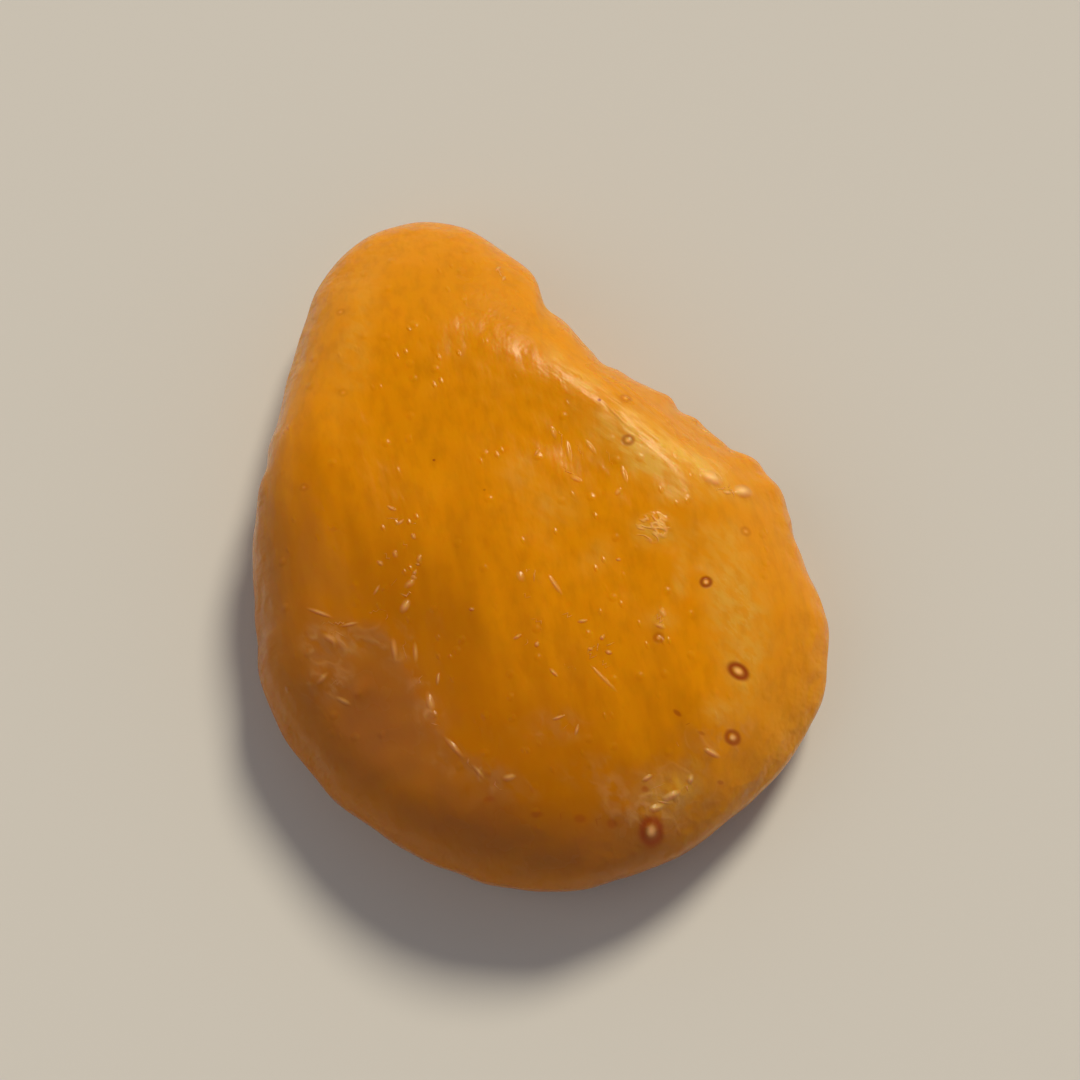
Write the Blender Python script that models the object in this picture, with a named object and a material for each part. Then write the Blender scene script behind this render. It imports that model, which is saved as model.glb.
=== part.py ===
"""A soft dried apricot half, lying on its cut side with the skin up.

Seen from above, +Y points to the stem end and +X to the fruit's right flank. The skin is a flattened dome
that rolls under to a puffy rim. Underneath, cut flesh slopes up from the rim to the hollow that the stone
left. The rim waves up and down and stands on three low feet, which lie flat on Z = 0.

The form starts as a cube, cut into a grid and blown up to a ball. Each point of the ball then moves to its
place on the fruit: its longitude picks a direction on the plan outline, and its latitude picks a place on
the cross-section, which runs from the top of the skin, round the rim, to the roof of the hollow.
"""

import math

import bmesh
import bpy
import numpy as np
from mathutils import Vector, noise
from mathutils.geometry import interpolate_bezier

MM = 0.001

# Overall size
LENGTH = 48.0 * MM
WIDTH = 39.5 * MM
HEIGHT = 12.0 * MM

# The grid on each of the cube's six sides
CELLS = 28

# Plan outline seen from above, in shares of half the width and half the length, from the right flank
# round by the stem end. The step from the eighth point to the ninth is the torn corner at the stem end.
OUTLINE = [
    (1.000, -0.270),
    (0.901, -0.030),
    (0.815, 0.191),
    (0.633, 0.317),
    (0.389, 0.472),
    (0.209, 0.530),
    (0.090, 0.671),
    (0.010, 0.723),
    (-0.040, 0.831),
    (-0.205, 0.945),
    (-0.425, 1.000),
    (-0.615, 0.950),
    (-0.790, 0.790),
    (-0.890, 0.515),
    (-0.970, 0.200),
    (-1.000, -0.100),
    (-0.955, -0.420),
    (-0.765, -0.690),
    (-0.470, -0.885),
    (-0.115, -1.000),
    (0.240, -0.985),
    (0.484, -0.899),
    (0.768, -0.714),
    (0.956, -0.485),
]

# A softer outline, averaged over this angle, in this many directions. The skin follows it inside the rim:
# the true outline's corners fade inward with this power of the way out.
SOFT_SPREAD = math.radians(45)
SOFT_STEPS = 720
CORNER_FADE = 3

# Cross-section, in shares of the outline's radius and of the height, from the middle of the skin to the
# middle of the hollow's roof.
SKIN_SECTION = [
    (0.00, 1.00),
    (0.22, 0.995),
    (0.44, 0.97),
    (0.64, 0.91),
    (0.81, 0.79),
    (0.93, 0.61),
    (0.99, 0.44),
    (1.00, 0.32),
]
RIM_SECTION = [
    (0.985, 0.17),
    (0.94, 0.05),
    (0.875, 0.00),
    (0.80, 0.05),
]
CUT_SECTION = [
    (0.70, 0.14),
    (0.61, 0.195),
    (0.54, 0.255),
    (0.49, 0.40),
    (0.40, 0.51),
    (0.22, 0.575),
    (0.00, 0.59),
]

# The left flank is fuller than the right: its skin stays high for longer before it turns down
FULL_SIDE = math.radians(200)
FULLNESS = 0.35

# The torn flank thins towards its edge, from one share of the way out to another
TORN_SIDE = math.radians(38)
TORN_SPREAD = math.radians(40)
TORN_THINNING = 0.30
THIN_STARTS = 0.55
THIN_ENDS = 0.95

# The rim's three feet, as longitudes, how high the rim lifts between each foot and the next, and how much
# of each foot is pressed flat
FEET = (math.radians(108), math.radians(215), math.radians(325))
LIFTS = (0.9 * MM, 1.3 * MM, 1.0 * MM)
FOOT_SINK = 0.34 * MM

# The lift fades out from the rim to this share of the way in
LIFT_ENDS = 0.35

# The skin's shoulder, where the flat crown turns down to the right flank, as points seen from above
SHOULDER = [
    (-3.6 * MM, 13.6 * MM),
    (0.5 * MM, 10.9 * MM),
    (3.7 * MM, 8.9 * MM),
    (7.4 * MM, 6.9 * MM),
    (10.6 * MM, 4.6 * MM),
    (13.2 * MM, 1.4 * MM),
    (14.2 * MM, -4.0 * MM),
    (13.8 * MM, -10.0 * MM),
    (11.2 * MM, -15.4 * MM),
]
SHOULDER_HEIGHT = 0.28 * MM
SHOULDER_WIDTH = 2.2 * MM

# The pressed corner at the lower left, and the fold that bounds it
PRESSED_CENTRE = Vector((-12.6 * MM, -13.0 * MM))
PRESSED_RADIUS = 4.6 * MM
PRESSED_DEPTH = 0.60 * MM
FOLD = [
    (-16.4 * MM, -5.6 * MM),
    (-13.7 * MM, -6.8 * MM),
    (-10.9 * MM, -7.8 * MM),
    (-9.2 * MM, -9.9 * MM),
    (-7.9 * MM, -12.6 * MM),
    (-6.2 * MM, -15.2 * MM),
    (-3.7 * MM, -16.9 * MM),
    (-0.6 * MM, -17.6 * MM),
]
FOLD_HEIGHT = 0.18 * MM
FOLD_WIDTH = 0.9 * MM

# How softly one region of the cross-section gives way to the next, as shares of its length
FADE = 0.06
RIM_FADE = 0.16

# Shrinkage of the drying fruit: broad swells of the skin, and lumps of the cut flesh
SWELL_SIZE = 9.0 * MM
SWELL_HEIGHT = 0.45 * MM
LUMP_SIZE = 3.6 * MM
LUMP_HEIGHT = 0.55 * MM

# Puckers that run down across the rim, deep where the torn edge is thin and shallow elsewhere
PUCKER_SIZE = 2.3 * MM
PUCKER_DROP = 9.0 * MM
PUCKER_HEIGHT = 0.25 * MM
TORN_PUCKER_HEIGHT = 0.75 * MM

# The seam that the stone's edge left along the hollow
SEAM_HEIGHT = 0.35 * MM
SEAM_WIDTH = 1.1 * MM

FLESH_COLOUR = (0.62, 0.23, 0.012, 1.0)
FLESH_ROUGHNESS = 0.34


def clear_scene():
    for obj in list(bpy.data.objects):
        bpy.data.objects.remove(obj)


def smooth_path(points, closed=False, steps=12):
    """A dense run of points along the Catmull-Rom curve through the given ones."""
    count = len(points)
    spans = count if closed else count - 1
    knots = [Vector((x, y, 0)) for x, y in points]

    def knot(i):
        return knots[i % count] if closed else knots[min(max(i, 0), count - 1)]

    path = []
    for i in range(spans):
        start, end = knot(i), knot(i + 1)
        leave = start + (end - knot(i - 1)) / 6
        arrive = end - (knot(i + 2) - start) / 6
        path += interpolate_bezier(start, leave, arrive, end, steps + 1)[:-1]
    if not closed:
        path.append(knots[-1])
    return np.array([(p.x, p.y) for p in path])


def reach_at(longitude, across):
    """Distance from the middle in each direction, at a share of the way out to the plan outline."""
    path = smooth_path(OUTLINE, closed=True) * (WIDTH / 2, LENGTH / 2)
    angles = np.arctan2(path[:, 1], path[:, 0])
    order = np.argsort(angles)
    turn = np.linspace(-math.pi, math.pi, SOFT_STEPS, endpoint=False)
    radii = np.interp(turn, angles[order], np.hypot(path[:, 0], path[:, 1])[order], period=2 * math.pi)
    off = (turn[:, None] - turn + math.pi) % (2 * math.pi) - math.pi
    weight = np.exp(-((off / SOFT_SPREAD) ** 2))
    soft = np.interp(longitude, turn, weight @ radii / weight.sum(axis=1), period=2 * math.pi)
    outline = np.interp(longitude, turn, radii, period=2 * math.pi)
    return across * (soft + (outline - soft) * across**CORNER_FADE)


def section_path():
    """The cross-section as a dense path, and how far along it each point lies, as a share."""
    path = smooth_path(SKIN_SECTION + RIM_SECTION + CUT_SECTION) * (1.0, HEIGHT)
    steps = np.hypot(np.diff(path[:, 0]) * WIDTH / 2, np.diff(path[:, 1]))
    return path, np.concatenate([[0.0], np.cumsum(steps)]) / steps.sum()


def share_of(points):
    """How far along the cross-section the last of its first few points lies, as a share."""
    path, along = section_path()
    spans = len(SKIN_SECTION) + len(RIM_SECTION) + len(CUT_SECTION) - 1
    return along[(points - 1) * (len(path) - 1) // spans]


def ease(low, high, value):
    """0 below low, 1 above high, and smooth between."""
    t = np.clip((value - low) / (high - low), 0.0, 1.0)
    return t * t * (3 - 2 * t)


def rim_lift(longitude):
    """How high the rim waves above its feet, in each direction."""
    lift = np.zeros_like(longitude)
    for i, foot in enumerate(FEET):
        gap = (FEET[(i + 1) % len(FEET)] - foot) % (2 * math.pi)
        way = ((longitude - foot) % (2 * math.pi)) / gap
        lift += np.where(way < 1, LIFTS[i] * np.sin(math.pi * way) ** 2, 0.0)
    return lift


def ridge(x, y, points, width):
    """1 along a path seen from above, fading to 0 beside it and at its ends."""
    path = smooth_path(points)
    distance = np.hypot(x[:, None] - path[:, 0], y[:, None] - path[:, 1])
    nearest = distance.argmin(axis=1)
    ends = np.sqrt(np.abs(np.sin(math.pi * np.linspace(0.0, 1.0, len(path)))))
    return ends[nearest] * np.exp(-((distance.min(axis=1) / width) ** 2))


def noise_at(points, size):
    return np.array([noise.noise(Vector(p) / size) for p in points])


def torn(longitude):
    """1 in the middle of the torn flank, fading to 0 away from it."""
    off = (longitude - TORN_SIDE + math.pi) % (2 * math.pi) - math.pi
    return np.exp(-((off / TORN_SPREAD) ** 2))


def puckers(place, longitude):
    """The rim's puckers, as heights."""
    turn = np.column_stack([np.cos(longitude), np.sin(longitude), np.zeros_like(longitude)])
    around = turn * WIDTH / 2
    around[:, 2] = place[:, 2] * PUCKER_SIZE / PUCKER_DROP
    depth = PUCKER_HEIGHT + (TORN_PUCKER_HEIGHT - PUCKER_HEIGHT) * torn(longitude)
    return depth * noise_at(around, PUCKER_SIZE)


def relief(place, longitude, share):
    """How far each point stands proud of the plain form, along the plain form's normal."""
    x, y = place[:, 0], place[:, 1]
    skin_ends = share_of(len(SKIN_SECTION))
    foot = share_of(len(SKIN_SECTION) + 3)
    flesh_starts = share_of(len(SKIN_SECTION + RIM_SECTION))
    hollow_starts = share_of(len(SKIN_SECTION + RIM_SECTION) + 3)
    skin = 1 - ease(skin_ends - FADE, skin_ends, share)
    rim = ease(skin_ends - RIM_FADE, skin_ends, share) * (1 - ease(flesh_starts, flesh_starts + FADE, share))
    cut = ease(foot, flesh_starts + FADE, share)
    hollow = ease(hollow_starts, hollow_starts + FADE, share)

    pressed = np.hypot(x - PRESSED_CENTRE.x, y - PRESSED_CENTRE.y) / PRESSED_RADIUS
    height = skin * SWELL_HEIGHT * noise_at(place, SWELL_SIZE)
    height += skin * SHOULDER_HEIGHT * ridge(x, y, SHOULDER, SHOULDER_WIDTH)
    height += skin * FOLD_HEIGHT * ridge(x, y, FOLD, FOLD_WIDTH)
    height -= skin * PRESSED_DEPTH * np.exp(-(pressed**2))
    height += rim * puckers(place, longitude)
    height += cut * (1 - hollow) * LUMP_HEIGHT * noise_at(place, LUMP_SIZE)
    height += hollow * SEAM_HEIGHT * np.exp(-((x / SEAM_WIDTH) ** 2))
    return height


def ball_mesh():
    """A cube cut into a grid and blown up to an even ball, with no poles."""
    bm = bmesh.new()
    bmesh.ops.create_cube(bm, size=2)
    bmesh.ops.subdivide_edges(bm, edges=bm.edges[:], cuts=CELLS - 1, use_grid_fill=True)
    for vert in bm.verts:
        vert.co = Vector(math.tan(math.pi / 4 * c) for c in vert.co).normalized()
    mesh = bpy.data.meshes.new("apricot_half")
    bm.to_mesh(mesh)
    bm.free()
    return mesh


def coordinates(mesh):
    flat = np.empty(len(mesh.vertices) * 3)
    mesh.vertices.foreach_get("co", flat)
    return flat.reshape(-1, 3)


def set_coordinates(mesh, points):
    mesh.vertices.foreach_set("co", points.ravel())
    mesh.update()


def shape_half(mesh):
    """Moves the ball's points to their places on the fruit."""
    ball = coordinates(mesh)
    longitude = np.arctan2(ball[:, 1], ball[:, 0])
    share = np.arccos(np.clip(ball[:, 2], -1.0, 1.0)) / math.pi
    path, along = section_path()
    across = np.interp(share, along, path[:, 0])
    height = np.interp(share, along, path[:, 1])
    on_skin = share < share_of(len(SKIN_SECTION))
    across **= 1 - FULLNESS * (1 + np.cos(longitude - FULL_SIDE)) / 2 * on_skin
    height *= 1 - TORN_THINNING * torn(longitude) * ease(THIN_STARTS, THIN_ENDS, across)
    height += rim_lift(longitude) * ease(LIFT_ENDS, 1.0, across)
    reach = reach_at(longitude, across)
    place = np.column_stack([reach * np.cos(longitude), reach * np.sin(longitude), height])
    set_coordinates(mesh, place)
    normals = np.array([vert.normal for vert in mesh.vertices])
    place += normals * relief(place, longitude, share)[:, None]
    set_coordinates(mesh, seat(place))


def seat(place):
    """Flattens the three feet, then fits the fruit to its overall size on Z = 0."""
    z = place[:, 2]
    lowest = z.min() + FOOT_SINK
    z = np.maximum(z, lowest) - lowest
    low, high = place.min(axis=0), place.max(axis=0)
    x = (place[:, 0] - (low[0] + high[0]) / 2) * WIDTH / (high[0] - low[0])
    y = (place[:, 1] - (low[1] + high[1]) / 2) * LENGTH / (high[1] - low[1])
    return np.column_stack([x, y, z * HEIGHT / z.max()])


def flesh_material():
    material = bpy.data.materials.new("apricot_flesh")
    material.use_nodes = True
    surface = material.node_tree.nodes["Principled BSDF"]
    surface.inputs["Base Color"].default_value = FLESH_COLOUR
    surface.inputs["Roughness"].default_value = FLESH_ROUGHNESS
    surface.inputs["Metallic"].default_value = 0.0
    return material


def main():
    clear_scene()
    collection = bpy.data.collections.new("dried_apricot_half")
    bpy.context.scene.collection.children.link(collection)
    mesh = ball_mesh()
    shape_half(mesh)
    mesh.shade_smooth()
    mesh.materials.append(flesh_material())
    collection.objects.link(bpy.data.objects.new("apricot_half", mesh))


main()
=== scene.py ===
"""A soft dried apricot half: its finished surface, its material and a plain studio stage.

The half lies on its cut side with the skin up, +Y towards the stem end and +Z up. The form repeats the one
that the frame's solid has, on a finer grid and with the folds, puckers and wrinkles of the drying skin.
Lengths are in metres, except inside the materials, where patterns are in millimetres.
"""

import math
from types import SimpleNamespace

import bmesh
import bpy
import numpy as np
from bpy.props import FloatProperty, FloatVectorProperty, IntProperty, PointerProperty
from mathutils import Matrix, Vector, noise
from mathutils.geometry import interpolate_bezier


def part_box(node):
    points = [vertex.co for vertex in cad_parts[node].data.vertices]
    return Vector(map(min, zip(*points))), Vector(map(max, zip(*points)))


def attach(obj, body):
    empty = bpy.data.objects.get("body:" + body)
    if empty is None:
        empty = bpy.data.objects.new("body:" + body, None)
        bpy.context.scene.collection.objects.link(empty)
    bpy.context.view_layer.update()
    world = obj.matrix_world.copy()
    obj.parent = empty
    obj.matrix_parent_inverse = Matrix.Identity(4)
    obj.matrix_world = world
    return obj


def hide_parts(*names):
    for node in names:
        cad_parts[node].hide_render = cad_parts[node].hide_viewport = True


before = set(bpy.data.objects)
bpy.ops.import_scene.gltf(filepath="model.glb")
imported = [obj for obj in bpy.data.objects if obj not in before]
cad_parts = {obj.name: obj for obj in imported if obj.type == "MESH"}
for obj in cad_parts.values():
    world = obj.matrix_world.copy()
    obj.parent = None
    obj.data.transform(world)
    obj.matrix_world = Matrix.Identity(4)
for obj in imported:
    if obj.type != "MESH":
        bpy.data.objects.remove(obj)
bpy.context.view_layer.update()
LOW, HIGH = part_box("apricot_half")

bl_info = {
    "name": "Dried apricot half",
    "version": (1, 0, 0),
    "blender": (4, 5, 0),
    "location": "View3D > Sidebar > Apricot",
    "description": "Builds a soft dried apricot half and a plain studio stage for it",
    "category": "Object",
}

MM = 0.001

# The studio's grey at each height, from the horizon at 0 to straight up at 1, and its faint warmth
SKY = ((0.0, 0.62), (0.40, 0.42), (0.85, 0.10))
SKY_TINT = (1.0, 0.95, 0.88)

# Lights: the direction towards each, how wide it is in the sky, and its colour
KEY_LIGHT = ((0.30, 0.62, 0.70), math.radians(16), (1.0, 0.87, 0.60))
FILL_LIGHT = ((-0.62, -0.19, 0.76), math.radians(50), (1.0, 0.84, 0.62))

# The floor's roughness, and how little it shines
FLOOR_ROUGHNESS = 0.9
FLOOR_SHINE = 0.2

# The nearest that the camera sees, in metres
CLIP_START = 0.01

# Plan outline seen from above, in shares of half the width and half the length, from the right flank
# round by the stem end. The step from the eighth point to the ninth is the torn corner at the stem end.
OUTLINE = [
    (1.000, -0.270),
    (0.901, -0.030),
    (0.815, 0.191),
    (0.633, 0.317),
    (0.389, 0.472),
    (0.209, 0.530),
    (0.090, 0.671),
    (0.010, 0.723),
    (-0.040, 0.831),
    (-0.205, 0.945),
    (-0.425, 1.000),
    (-0.615, 0.950),
    (-0.790, 0.790),
    (-0.890, 0.515),
    (-0.970, 0.200),
    (-1.000, -0.100),
    (-0.955, -0.420),
    (-0.765, -0.690),
    (-0.470, -0.885),
    (-0.115, -1.000),
    (0.240, -0.985),
    (0.484, -0.899),
    (0.768, -0.714),
    (0.956, -0.485),
]

# A softer outline, averaged over this angle, in this many directions. The skin follows it inside the rim:
# the true outline's corners fade inward with this power of the way out.
SOFT_SPREAD = math.radians(45)
SOFT_STEPS = 720
CORNER_FADE = 3

# Cross-section, in shares of the outline's radius and of the height, from the middle of the skin to the
# middle of the hollow's roof
SKIN_SECTION = [
    (0.00, 1.00),
    (0.22, 0.995),
    (0.44, 0.97),
    (0.64, 0.91),
    (0.81, 0.79),
    (0.93, 0.61),
    (0.99, 0.44),
    (1.00, 0.32),
]
RIM_SECTION = [
    (0.985, 0.17),
    (0.94, 0.05),
    (0.875, 0.00),
    (0.80, 0.05),
]
CUT_SECTION = [
    (0.70, 0.14),
    (0.61, 0.195),
    (0.54, 0.255),
    (0.49, 0.40),
    (0.40, 0.51),
    (0.22, 0.575),
    (0.00, 0.59),
]

# Which of the rim's points is the foot, and which of the cut's points starts the hollow
FOOT_POINT = 3
HOLLOW_POINT = 3

# The left flank is fuller than the right: its skin stays high for longer before it turns down
FULL_SIDE = math.radians(200)
FULLNESS = 0.35

# The torn flank at the right of the stem end: its middle, how far it runs to each side, how much thinner its
# edge is, and where the thinning starts and ends on the way out
TORN_SIDE = math.radians(38)
TORN_SPREAD = math.radians(40)
TORN_THINNING = 0.30
THIN_STARTS = 0.55
THIN_ENDS = 0.95

# The rim's three feet, as longitudes, how high the rim lifts between each foot and the next, and how much
# of each foot is pressed flat
FEET = (math.radians(108), math.radians(215), math.radians(325))
LIFTS = (0.9 * MM, 1.3 * MM, 1.0 * MM)
FOOT_SINK = 0.34 * MM

# The lift fades out from the rim to this share of the way in
LIFT_ENDS = 0.35

# The skin's shoulder, where the flat crown turns down to the right flank, as points seen from above
SHOULDER = [
    (-3.6 * MM, 13.6 * MM),
    (0.5 * MM, 10.9 * MM),
    (3.7 * MM, 8.9 * MM),
    (7.4 * MM, 6.9 * MM),
    (10.6 * MM, 4.6 * MM),
    (13.2 * MM, 1.4 * MM),
    (14.2 * MM, -4.0 * MM),
    (13.8 * MM, -10.0 * MM),
    (11.2 * MM, -15.4 * MM),
]
SHOULDER_WIDTH = 2.2 * MM

# The pressed corner at the lower left, and the fold that bounds it
PRESSED_CENTRE = Vector((-12.6 * MM, -13.0 * MM))
PRESSED_RADIUS = 4.6 * MM
PRESSED_DEPTH = 0.60 * MM
FOLD = [
    (-16.4 * MM, -5.6 * MM),
    (-13.7 * MM, -6.8 * MM),
    (-10.9 * MM, -7.8 * MM),
    (-9.2 * MM, -9.9 * MM),
    (-7.9 * MM, -12.6 * MM),
    (-6.2 * MM, -15.2 * MM),
    (-3.7 * MM, -16.9 * MM),
    (-0.6 * MM, -17.6 * MM),
]
FOLD_WIDTH = 0.9 * MM

# The shallow groove down the upper left of the crown
GROOVE = [
    (-11.7 * MM, 20.4 * MM),
    (-11.5 * MM, 13.9 * MM),
    (-11.1 * MM, 8.2 * MM),
    (-11.2 * MM, 2.4 * MM),
]
GROOVE_DEPTH = 0.07 * MM
GROOVE_WIDTH = 1.0 * MM

# How softly one region of the cross-section gives way to the next, as shares of its length
FADE = 0.06
RIM_FADE = 0.16

# Sizes of the skin's swells, ripples and dimples, of the lumps in the flesh, of the rim's puckers, which
# change slowly downwards, and of the hollow's seam
SWELL_SIZE = 9.0 * MM
RIPPLE_SIZE = 3.0 * MM
DIMPLE_SIZE = 1.3 * MM
LUMP_SIZE = 3.6 * MM
PUCKER_SIZE = 2.3 * MM
PUCKER_DROP = 9.0 * MM
SEAM_WIDTH = 1.1 * MM

# Soft patches: the size of their ragged edges' bays, how deep the bays are, and how far out a patch reaches.
# Depth and reach are in the patch's own measure, in which its edge is at 1.
PATCH_EDGE_SIZE = 1.8 * MM
PATCH_RAGGEDNESS = 0.35
PATCH_REACH = 1.4

# Marks on the skin, seen from above, in millimetres from the middle of the half. Each is an oval with its
# middle, its half length and half width, and the turn of its length from +X in degrees.

# Domes: the blister and small lumps. The last value is the height in millimetres.
DOMES = [
    (7.5, -0.8, 1.30, 1.05, 20, 0.12),
    (7.3, -20.6, 1.10, 0.95, 70, 0.14),
    (11.2, -15.6, 1.20, 0.75, -20, 0.14),
    (8.9, -18.3, 1.10, 0.75, 25, 0.14),
    (5.3, -19.7, 0.90, 0.70, 0, 0.10),
    (11.6, 2.9, 1.00, 0.70, -20, 0.16),
    (13.7, 2.3, 0.80, 0.60, 20, 0.14),
    (7.8, -7.3, 0.75, 0.60, -60, 0.08),
    (-13.8, -8.4, 1.20, 0.70, -35, 0.14),
    (-12.2, -11.8, 1.30, 0.75, 40, 0.12),
    (-15.0, -10.6, 1.10, 0.65, 70, 0.12),
]
DOME_REACH = 1.2

# Freckles: a red-brown ring round a raised pale middle with a painted glint. The last value is how dark the
# ring is.
FRECKLES = [
    (11.0, -4.4, 0.48, 0.43, 20, 0.9),
    (13.1, -10.2, 0.85, 0.60, -25, 1.0),
    (12.7, -14.5, 0.62, 0.55, 0, 0.85),
    (5.9, 5.4, 0.48, 0.45, 0, 0.6),
    (7.3, -20.6, 0.98, 0.90, 70, 1.0),
    (5.8, 8.7, 0.45, 0.42, 0, 0.35),
    (7.8, -8.3, 0.42, 0.40, 0, 0.4),
    (13.8, -0.5, 0.42, 0.40, 0, 0.3),
    (-13.3, 8.9, 0.40, 0.36, 0, 0.15),
    (-15.8, 2.2, 0.36, 0.32, 0, 0.2),
    (-13.7, 15.3, 0.36, 0.32, 0, 0.2),
]

# Small flat brown specks. The last value is how dark the speck is.
SPECKS = [
    (4.0, 8.3, 0.16, 0.13, 0, 1.0),
    (-7.1, 4.0, 0.12, 0.10, 0, 0.9),
    (-3.7, 1.8, 0.11, 0.10, 0, 0.5),
    (9.0, -13.2, 0.38, 0.18, -35, 0.7),
    (10.6, -14.4, 0.30, 0.14, -20, 0.4),
    (11.9, -17.3, 0.28, 0.16, 0, 0.5),
    (6.9, -18.1, 0.30, 0.22, 0, 0.5),
    (2.6, -20.1, 0.45, 0.30, 0, 0.5),
    (4.7, -20.3, 0.40, 0.34, 0, 0.5),
    (-3.3, -18.9, 0.45, 0.20, 0, 0.4),
    (-0.2, -19.9, 0.50, 0.22, 0, 0.4),
]

# Welts: thin raised creases that catch the light, with painted highlights on their tops. The last value is
# the height in millimetres.
WELTS = [
    (1.0, -4.75, 0.95, 0.18, -56, 0.10),
    (4.2, -11.1, 1.5, 0.16, -45, 0.06),
    (-14.6, -6.35, 1.15, 0.18, -24, 0.13),
    (-12.6, -7.25, 0.75, 0.16, 8, 0.11),
    (5.2, 7.2, 1.35, 0.18, -47, 0.10),
    (-13.9, -8.1, 0.70, 0.28, -35, 0.10),
    (-14.4, -10.6, 0.60, 0.25, 40, 0.10),
    (-13.0, -12.1, 0.70, 0.22, -30, 0.10),
    (-9.6, -9.0, 0.95, 0.26, -82, 0.10),
    (-8.2, -9.2, 0.85, 0.22, -86, 0.09),
    (-7.2, -12.6, 0.90, 0.30, -75, 0.10),
    (-5.6, -15.6, 1.10, 0.24, -48, 0.11),
    (-4.0, -17.2, 0.75, 0.18, -50, 0.09),
    (-2.0, -17.6, 0.55, 0.28, 10, 0.12),
    (-8.6, -4.6, 0.50, 0.30, 40, 0.10),
    (-9.6, -2.6, 0.35, 0.20, -70, 0.08),
    (-8.0, -2.9, 0.35, 0.20, 80, 0.08),
    (11.3, -15.6, 0.70, 0.24, -20, 0.20),
    (8.6, -18.4, 0.80, 0.28, 25, 0.22),
    (7.6, -19.2, 0.65, 0.28, 20, 0.22),
    (7.0, -17.4, 0.50, 0.20, 30, 0.16),
    (9.9, -17.3, 0.40, 0.24, 70, 0.20),
    (8.1, -6.6, 0.40, 0.26, -65, 0.13),
    (7.9, -7.5, 0.45, 0.20, -20, 0.10),
    (1.9, 4.6, 0.95, 0.22, -80, 0.07),
    (0.9, 5.9, 0.55, 0.20, -70, 0.07),
    (3.4, 4.9, 0.75, 0.20, -55, 0.06),
    (2.4, 2.6, 0.50, 0.20, -25, 0.09),
    (5.6, 3.0, 0.80, 0.20, -75, 0.07),
    (5.2, 1.7, 0.35, 0.22, 60, 0.09),
    (-1.3, -4.2, 0.50, 0.30, -60, 0.07),
    (11.5, 3.1, 0.95, 0.60, -25, 0.32),
    (13.7, 2.6, 0.80, 0.60, 20, 0.32),
    (11.0, 3.5, 0.40, 0.20, -30, 0.20),
    (12.6, 2.2, 0.35, 0.20, 10, 0.18),
    (-8.9, -6.1, 0.60, 0.35, 60, 0.16),
    (9.9, 9.6, 0.45, 0.24, -40, 0.20),
    (11.4, 7.9, 0.40, 0.22, -30, 0.20),
    (13.2, 6.2, 0.30, 0.20, -30, 0.16),
    (-2.9, 18.9, 0.35, 0.18, 60, 0.16),
    (-2.5, 18.0, 0.30, 0.16, 70, 0.14),
    (-9.9, 0.6, 0.40, 0.15, -30, 0.14),
    (-9.3, -0.4, 0.35, 0.15, 40, 0.14),
    (-8.4, -1.4, 0.28, 0.17, -60, 0.14),
    (-10.6, -3.2, 0.30, 0.17, -40, 0.14),
    (-8.3, -3.9, 0.24, 0.16, 70, 0.12),
    (-10.8, -5.0, 0.45, 0.14, 60, 0.12),
    (-0.2, 4.5, 0.35, 0.15, 60, 0.13),
    (2.8, -7.2, 0.38, 0.15, 10, 0.20),
    (4.1, -8.3, 0.24, 0.17, 60, 0.20),
    (4.5, -9.3, 0.26, 0.18, -20, 0.20),
    (3.3, -9.1, 0.20, 0.15, 0, 0.16),
    (-0.2, -8.8, 0.24, 0.18, 70, 0.20),
    (-1.5, -8.3, 0.35, 0.15, 30, 0.14),
    (0.9, -10.7, 0.45, 0.15, -45, 0.14),
    (-6.7, -11.0, 0.50, 0.16, 85, 0.13),
    (1.2, -13.7, 0.50, 0.15, 20, 0.15),
    (2.4, -14.5, 0.45, 0.15, 75, 0.14),
    (5.2, -3.0, 0.20, 0.15, 0, 0.14),
    (-4.5, -6.4, 0.20, 0.15, 0, 0.14),
]

# The blister, whose skin is crumpled, with painted highlights along its creases
BLISTERS = [(7.5, -0.8, 1.15, 1.0, 20, 1.0)]

# Blooms and sheens: soft pale patches, partly drier skin and partly painted sheen, as along the shoulder
# band.
# The last value is how pale the patch is.
BLOOMS_AND_SHEENS = [
    (12.8, -5.8, 6.8, 2.3, -80, 0.60),
    (2.6, 9.9, 4.4, 1.0, -42, 0.50),
    (7.3, 5.0, 5.6, 2.0, -38, 0.85),
    (11.6, 3.3, 3.0, 1.3, -35, 0.50),
    (7.8, 3.2, 3.2, 1.6, -70, 0.30),
    (-12.6, 13.0, 7.0, 1.5, 82, 0.25),
    (7.6, -0.9, 1.5, 1.2, 20, 0.65),
    (8.0, -7.0, 1.0, 1.3, 90, 0.30),
    (9.0, -18.0, 2.6, 1.6, 25, 0.45),
    (1.0, 0.8, 2.2, 1.3, -20, 0.28),
    (-1.6, 3.2, 1.8, 1.3, 30, 0.22),
    (3.9, -2.6, 1.4, 1.1, 60, 0.20),
    (9.3, -4.0, 1.9, 0.7, 90, 0.45),
    (11.8, -12.9, 1.5, 0.9, 0, 0.35),
]

# Crumpled skin under a painted greyish-pink sheen. The last value is how strong the painted sheen is.
CRUMPLE_SHEENS = [
    (11.6, -14.6, 3.4, 1.8, 20, 0.25),
    (8.0, -18.6, 4.2, 2.2, 18, 0.50),
    (-13.4, -8.4, 2.8, 1.4, 0, 0.60),
    (-13.9, -10.9, 1.8, 1.4, -20, 0.50),
    (-9.2, -9.0, 1.4, 2.0, 0, 0.30),
    (-7.4, -13.0, 2.4, 0.9, -70, 0.55),
    (-3.4, -17.4, 4.2, 1.0, -20, 0.40),
    (3.4, -17.2, 2.2, 1.2, 0, 0.30),
    (1.0, -14.4, 2.6, 1.2, 0, 0.25),
]
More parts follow.
